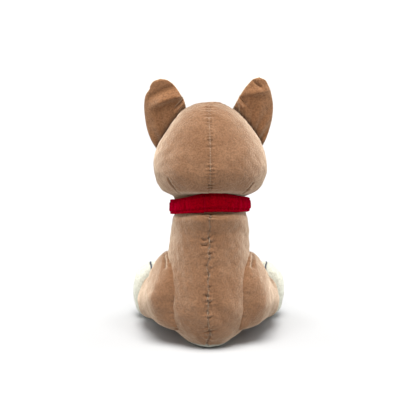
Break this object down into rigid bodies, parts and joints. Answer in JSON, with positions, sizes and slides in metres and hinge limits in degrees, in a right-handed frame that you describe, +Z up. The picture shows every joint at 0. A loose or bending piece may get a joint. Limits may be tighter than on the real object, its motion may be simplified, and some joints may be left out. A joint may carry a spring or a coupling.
{
  "type": "plush dog",
  "caption": "Sitting plush dog with upright ears, a padded red collar, outstretched cream feet and a flat stuffed seat; head, ears and limbs flex.",
  "frame": {"origin": "middle of the flat seat, on the surface the dog sits on", "axes": "+Z up, the dog faces -Y, its left side is +X"},
  "size_m": [0.1324, 0.1196, 0.2236],
  "materials": {
    "tan_pile": "short sheared pile",
    "cream_pile": "short sheared pile",
    "red_plush": "dense plush",
    "filling": "polyester fibre",
    "pellet_bag": "woven bag of pellets",
    "dark_thread": "embroidery thread",
    "eye_plastic": "polished",
    "washer_plastic": "moulded"
  },
  "bodies": {
    "torso": {"back_panel_left": "tan_pile", "back_panel_right": "tan_pile", "belly_panel": "cream_pile", "seat_panel": "cream_pile", "torso_stuffing": "filling", "pellet_bag": "pellet_bag"},
    "neck": {"neck_stuffing": "filling"},
    "head": {"head_back_left": "tan_pile", "head_back_right": "tan_pile", "face_panel": "cream_pile", "muzzle_cover": "cream_pile", "muzzle_stuffing": "filling", "nose": "dark_thread", "mouth_stitch": "dark_thread", "head_stuffing": "filling", "eye_left": "eye_plastic", "eye_right": "eye_plastic", "eye_washer_left": "washer_plastic", "eye_washer_right": "washer_plastic"},
    "ear_left": {"ear_back_left": "tan_pile", "ear_lining_left": "cream_pile"},
    "ear_right": {"ear_back_right": "tan_pile", "ear_lining_right": "cream_pile"},
    "collar": {"collar_left": "red_plush", "collar_right": "red_plush"},
    "hind_limb_left": {"hind_leg_left": "tan_pile", "hind_leg_stuffing_left": "filling", "foot_left": "cream_pile", "foot_stuffing_left": "filling", "sole_left": "cream_pile", "toe_stitches_left": "dark_thread"},
    "front_limb_left": {"front_leg_left": "tan_pile", "front_leg_stuffing_left": "filling", "paw_left": "cream_pile", "paw_stitches_left": "dark_thread"},
    "hind_limb_right": {"hind_leg_right": "tan_pile", "hind_leg_stuffing_right": "filling", "foot_right": "cream_pile", "foot_stuffing_right": "filling", "sole_right": "cream_pile", "toe_stitches_right": "dark_thread"},
    "front_limb_right": {"front_leg_right": "tan_pile", "front_leg_stuffing_right": "filling", "paw_right": "cream_pile", "paw_stitches_right": "dark_thread"}
  },
  "joints": [
    {"name": "neck_turn", "type": "hinge", "parent": "torso", "child": "neck", "pos_m": [0, -0.004, 0.118], "axis": [0, -0.2588, 0.9659], "range_deg": [-30, 30], "stiffness_Nm_per_rad": 0.5},
    {"name": "head_nod", "type": "hinge", "parent": "neck", "child": "head", "pos_m": [0, -0.004, 0.118], "axis": [1, 0, 0], "range_deg": [-8, 10], "stiffness_Nm_per_rad": 1},
    {"name": "collar_turn", "type": "hinge", "parent": "torso", "child": "collar", "pos_m": [0, -0.004, 0.118], "axis": [0, -0.2588, 0.9659], "continuous": true},
    {"name": "ear_left_bend", "type": "hinge", "parent": "head", "child": "ear_left", "pos_m": [0.0325, -0.021, 0.18], "axis": [0.5762, 0, -0.8173], "range_deg": [-25, 35], "stiffness_Nm_per_rad": 0.01},
    {"name": "ear_right_bend", "type": "hinge", "parent": "head", "child": "ear_right", "pos_m": [-0.0325, -0.021, 0.18], "axis": [0.5762, 0, 0.8173], "range_deg": [-25, 35], "stiffness_Nm_per_rad": 0.01},
    {"name": "hind_limb_left_swing", "type": "hinge", "parent": "torso", "child": "hind_limb_left", "pos_m": [0.027, -0.0035, 0.043], "axis": [1, 0, 0], "range_deg": [-40, 15], "stiffness_Nm_per_rad": 0.2},
    {"name": "hind_limb_right_swing", "type": "hinge", "parent": "torso", "child": "hind_limb_right", "pos_m": [-0.027, -0.0035, 0.043], "axis": [1, 0, 0], "range_deg": [-40, 15], "stiffness_Nm_per_rad": 0.2},
    {"name": "front_limb_left_swing", "type": "hinge", "parent": "torso", "child": "front_limb_left", "pos_m": [0.017, -0.037, 0.088], "axis": [1, 0, 0], "range_deg": [-70, 0], "stiffness_Nm_per_rad": 0.05},
    {"name": "front_limb_right_swing", "type": "hinge", "parent": "torso", "child": "front_limb_right", "pos_m": [-0.017, -0.037, 0.088], "axis": [1, 0, 0], "range_deg": [-70, 0], "stiffness_Nm_per_rad": 0.05}
  ]
}
